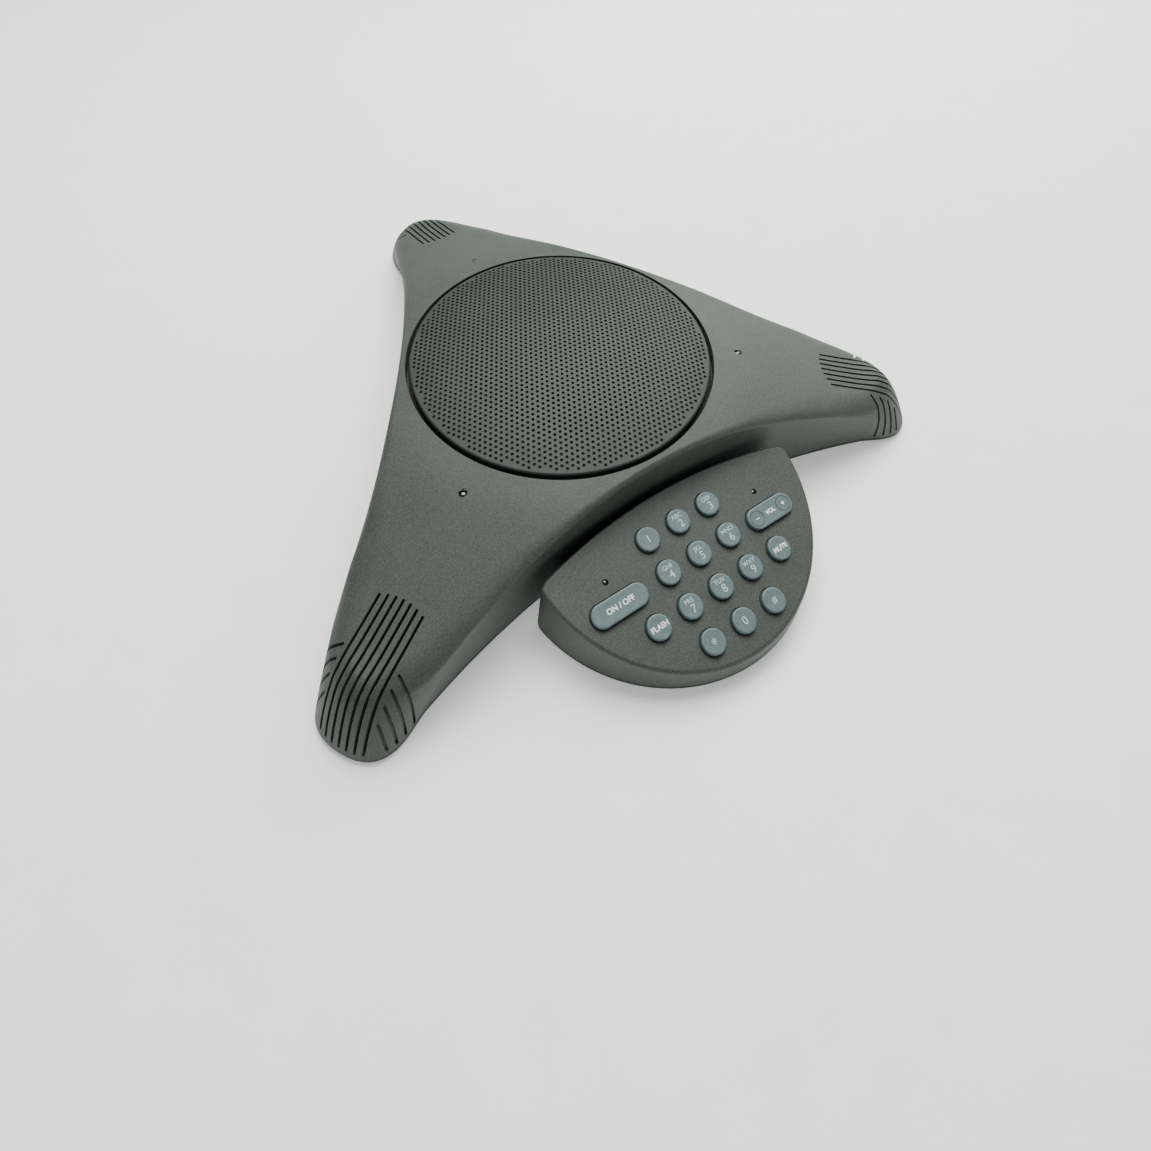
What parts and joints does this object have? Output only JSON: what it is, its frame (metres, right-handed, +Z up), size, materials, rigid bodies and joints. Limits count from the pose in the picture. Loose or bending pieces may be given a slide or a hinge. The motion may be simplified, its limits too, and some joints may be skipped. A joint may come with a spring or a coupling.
{
  "type": "conference speakerphone",
  "caption": "Three-armed tabletop speakerphone with a domed perforated speaker grille, slotted microphone arm ends and a sloped keypad pod with sprung keys.",
  "frame": {"origin": "on the table, under the middle of the object's length and width", "axes": "+Z up, +Y along the back arm, keypad towards -Y, +X to the right of a user at the keypad"},
  "size_m": [0.3614, 0.373, 0.0687],
  "materials": {
    "charcoal_abs": "fine moulded texture, satin",
    "black_abs": "fine moulded texture, matt",
    "painted_steel": "perforated sheet with baked paint, satin",
    "key_plastic": "smooth moulded, satin",
    "silicone": "moulded, matt",
    "black_rubber": "moulded, matt",
    "zinc_steel": "zinc plated",
    "black_steel": "black passivated",
    "cone_paper": "pressed pulp, matt",
    "circuit_board": "solder resist",
    "lamp_lens": "polished",
    "ribbon_plastic": "smooth film"
  },
  "bodies": {
    "base": {"top_housing": "charcoal_abs", "keypad_cover": "charcoal_abs", "key_membrane": "silicone", "keypad_board": "circuit_board", "bottom_housing": "black_abs", "cable_well": "black_abs", "foot_back": "black_rubber", "foot_left": "black_rubber", "foot_right": "black_rubber", "foot_keypad_left": "black_rubber", "foot_keypad_right": "black_rubber", "housing_screw_back": "zinc_steel", "housing_screw_left": "zinc_steel", "housing_screw_right": "zinc_steel", "keypad_screw_left": "zinc_steel", "keypad_screw_right": "zinc_steel", "speaker_grille": "painted_steel", "grille_gasket": "black_rubber", "speaker_basket": "black_steel", "speaker_cone": "cone_paper", "speaker_dust_cap": "cone_paper", "speaker_magnet": "black_steel", "microphone_boot_back": "black_rubber", "microphone_back": "zinc_steel", "status_lamp_back": "lamp_lens", "microphone_boot_left": "black_rubber", "microphone_left": "zinc_steel", "status_lamp_left": "lamp_lens", "microphone_boot_right": "black_rubber", "microphone_right": "zinc_steel", "status_lamp_right": "lamp_lens", "main_board": "circuit_board", "line_socket": "black_abs", "keypad_ribbon": "ribbon_plastic", "keypad_lamp_left": "lamp_lens", "keypad_lamp_right": "lamp_lens"},
    "key_1": {"key_1": "key_plastic"},
    "key_2": {"key_2": "key_plastic"},
    "key_3": {"key_3": "key_plastic"},
    "key_4": {"key_4": "key_plastic"},
    "key_5": {"key_5": "key_plastic"},
    "key_6": {"key_6": "key_plastic"},
    "key_7": {"key_7": "key_plastic"},
    "key_8": {"key_8": "key_plastic"},
    "key_9": {"key_9": "key_plastic"},
    "key_star": {"key_star": "key_plastic"},
    "key_0": {"key_0": "key_plastic"},
    "key_hash": {"key_hash": "key_plastic"},
    "key_flash": {"key_flash": "key_plastic"},
    "key_mute": {"key_mute": "key_plastic"},
    "key_on_off": {"key_on_off": "key_plastic"},
    "key_volume": {"key_volume": "key_plastic"}
  },
  "joints": [
    {"name": "press_1", "type": "slide", "parent": "base", "child": "key_1", "axis": [0, 0.2917, -0.9565], "range_m": [0, 0.001], "stiffness_N_per_m": 600},
    {"name": "press_2", "type": "slide", "parent": "base", "child": "key_2", "axis": [0, 0.2917, -0.9565], "range_m": [0, 0.001], "stiffness_N_per_m": 600},
    {"name": "press_3", "type": "slide", "parent": "base", "child": "key_3", "axis": [0, 0.2917, -0.9565], "range_m": [0, 0.001], "stiffness_N_per_m": 600},
    {"name": "press_4", "type": "slide", "parent": "base", "child": "key_4", "axis": [0, 0.2917, -0.9565], "range_m": [0, 0.001], "stiffness_N_per_m": 600},
    {"name": "press_5", "type": "slide", "parent": "base", "child": "key_5", "axis": [0, 0.2917, -0.9565], "range_m": [0, 0.001], "stiffness_N_per_m": 600},
    {"name": "press_6", "type": "slide", "parent": "base", "child": "key_6", "axis": [0, 0.2917, -0.9565], "range_m": [0, 0.001], "stiffness_N_per_m": 600},
    {"name": "press_7", "type": "slide", "parent": "base", "child": "key_7", "axis": [0, 0.2917, -0.9565], "range_m": [0, 0.001], "stiffness_N_per_m": 600},
    {"name": "press_8", "type": "slide", "parent": "base", "child": "key_8", "axis": [0, 0.2917, -0.9565], "range_m": [0, 0.001], "stiffness_N_per_m": 600},
    {"name": "press_9", "type": "slide", "parent": "base", "child": "key_9", "axis": [0, 0.2917, -0.9565], "range_m": [0, 0.001], "stiffness_N_per_m": 600},
    {"name": "press_star", "type": "slide", "parent": "base", "child": "key_star", "axis": [0, 0.2917, -0.9565], "range_m": [0, 0.001], "stiffness_N_per_m": 600},
    {"name": "press_0", "type": "slide", "parent": "base", "child": "key_0", "axis": [0, 0.2917, -0.9565], "range_m": [0, 0.001], "stiffness_N_per_m": 600},
    {"name": "press_hash", "type": "slide", "parent": "base", "child": "key_hash", "axis": [0, 0.2917, -0.9565], "range_m": [0, 0.001], "stiffness_N_per_m": 600},
    {"name": "press_flash", "type": "slide", "parent": "base", "child": "key_flash", "axis": [0, 0.2917, -0.9565], "range_m": [0, 0.001], "stiffness_N_per_m": 600},
    {"name": "press_mute", "type": "slide", "parent": "base", "child": "key_mute", "axis": [0, 0.2917, -0.9565], "range_m": [0, 0.001], "stiffness_N_per_m": 600},
    {"name": "press_on_off", "type": "slide", "parent": "base", "child": "key_on_off", "axis": [0, 0.2917, -0.9565], "range_m": [0, 0.001], "stiffness_N_per_m": 600},
    {"name": "volume_rock", "type": "hinge", "parent": "base", "child": "key_volume", "pos_m": [0.0455, -0.13903, 0.02461], "axis": [0, 0.9565, 0.2917], "range_deg": [-3, 3], "stiffness_Nm_per_rad": 0.4}
  ]
}
